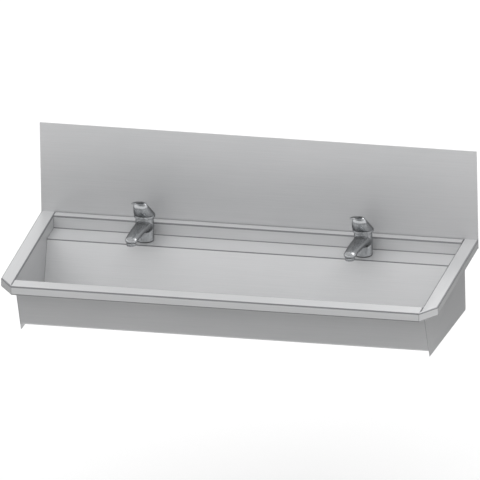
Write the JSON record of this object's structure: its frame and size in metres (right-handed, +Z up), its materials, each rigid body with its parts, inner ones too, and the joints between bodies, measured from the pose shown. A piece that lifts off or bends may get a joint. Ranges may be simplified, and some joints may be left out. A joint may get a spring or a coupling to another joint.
{
  "type": "trough sink",
  "caption": "Wall-hung stainless trough sink with a sloping bowl, a recessed tap ledge with single-lever mixers, clipped front corners and a full-width splashback.",
  "frame": {"origin": "on the wall, in the middle of the length, level with the rims", "axes": "+X to the right along the trough, +Y into the wall, +Z up"},
  "size_m": [1.2, 0.55, 0.4777],
  "materials": {
    "stainless_sheet": "fine brushed stainless sheet",
    "stainless_hidden": "mill finish stainless sheet",
    "waste_metal": "polished stainless",
    "tap_chrome": "bright chrome on brass",
    "fastener_steel": "plain stainless fastener",
    "brass_inner": "machined brass",
    "black_rubber": "moulded black rubber",
    "white_plastic": "moulded white plastic",
    "grey_plastic": "moulded grey plastic"
  },
  "bodies": {
    "trough": {"front_sheet": "stainless_sheet", "bowl_sheet": "stainless_sheet", "ledge_sheet": "stainless_sheet", "left_end": "stainless_sheet", "right_end": "stainless_sheet", "splashback": "stainless_sheet", "wall_rail": "stainless_hidden", "left_tap_plate": "stainless_hidden", "right_tap_plate": "stainless_hidden", "waste_body": "waste_metal", "waste_grid": "waste_metal", "grid_screw": "fastener_steel", "waste_seal": "black_rubber", "waste_washer": "black_rubber", "waste_nut": "white_plastic", "left_tap_body": "tap_chrome", "left_spout": "tap_chrome", "left_base_seal": "black_rubber", "left_cartridge": "white_plastic", "left_dome_nut": "tap_chrome", "left_aerator": "tap_chrome", "left_aerator_insert": "white_plastic", "left_stud": "fastener_steel", "left_horseshoe_gasket": "black_rubber", "left_horseshoe_washer": "fastener_steel", "left_stud_nut": "fastener_steel", "right_tap_body": "tap_chrome", "right_spout": "tap_chrome", "right_base_seal": "black_rubber", "right_cartridge": "white_plastic", "right_dome_nut": "tap_chrome", "right_aerator": "tap_chrome", "right_aerator_insert": "white_plastic", "right_stud": "fastener_steel", "right_horseshoe_gasket": "black_rubber", "right_horseshoe_washer": "fastener_steel", "right_stud_nut": "fastener_steel"},
    "left_swivel": {"left_carrier": "white_plastic", "left_pivot_pin": "fastener_steel"},
    "left_handle": {"left_spindle": "brass_inner", "left_lever": "tap_chrome", "left_lever_screw": "fastener_steel", "left_index_plug": "grey_plastic"},
    "right_swivel": {"right_carrier": "white_plastic", "right_pivot_pin": "fastener_steel"},
    "right_handle": {"right_spindle": "brass_inner", "right_lever": "tap_chrome", "right_lever_screw": "fastener_steel", "right_index_plug": "grey_plastic"}
  },
  "joints": [
    {"name": "left_turn", "type": "hinge", "parent": "trough", "child": "left_swivel", "pos_m": [-0.3, -0.072, 0.015], "axis": [0, 0, 1], "range_deg": [-45, 45]},
    {"name": "left_lift", "type": "hinge", "parent": "left_swivel", "child": "left_handle", "pos_m": [-0.3, -0.072, 0.027], "axis": [-1, 0, 0], "range_deg": [0, 25]},
    {"name": "right_turn", "type": "hinge", "parent": "trough", "child": "right_swivel", "pos_m": [0.3, -0.072, 0.015], "axis": [0, 0, 1], "range_deg": [-45, 45]},
    {"name": "right_lift", "type": "hinge", "parent": "right_swivel", "child": "right_handle", "pos_m": [0.3, -0.072, 0.027], "axis": [-1, 0, 0], "range_deg": [0, 25]}
  ]
}
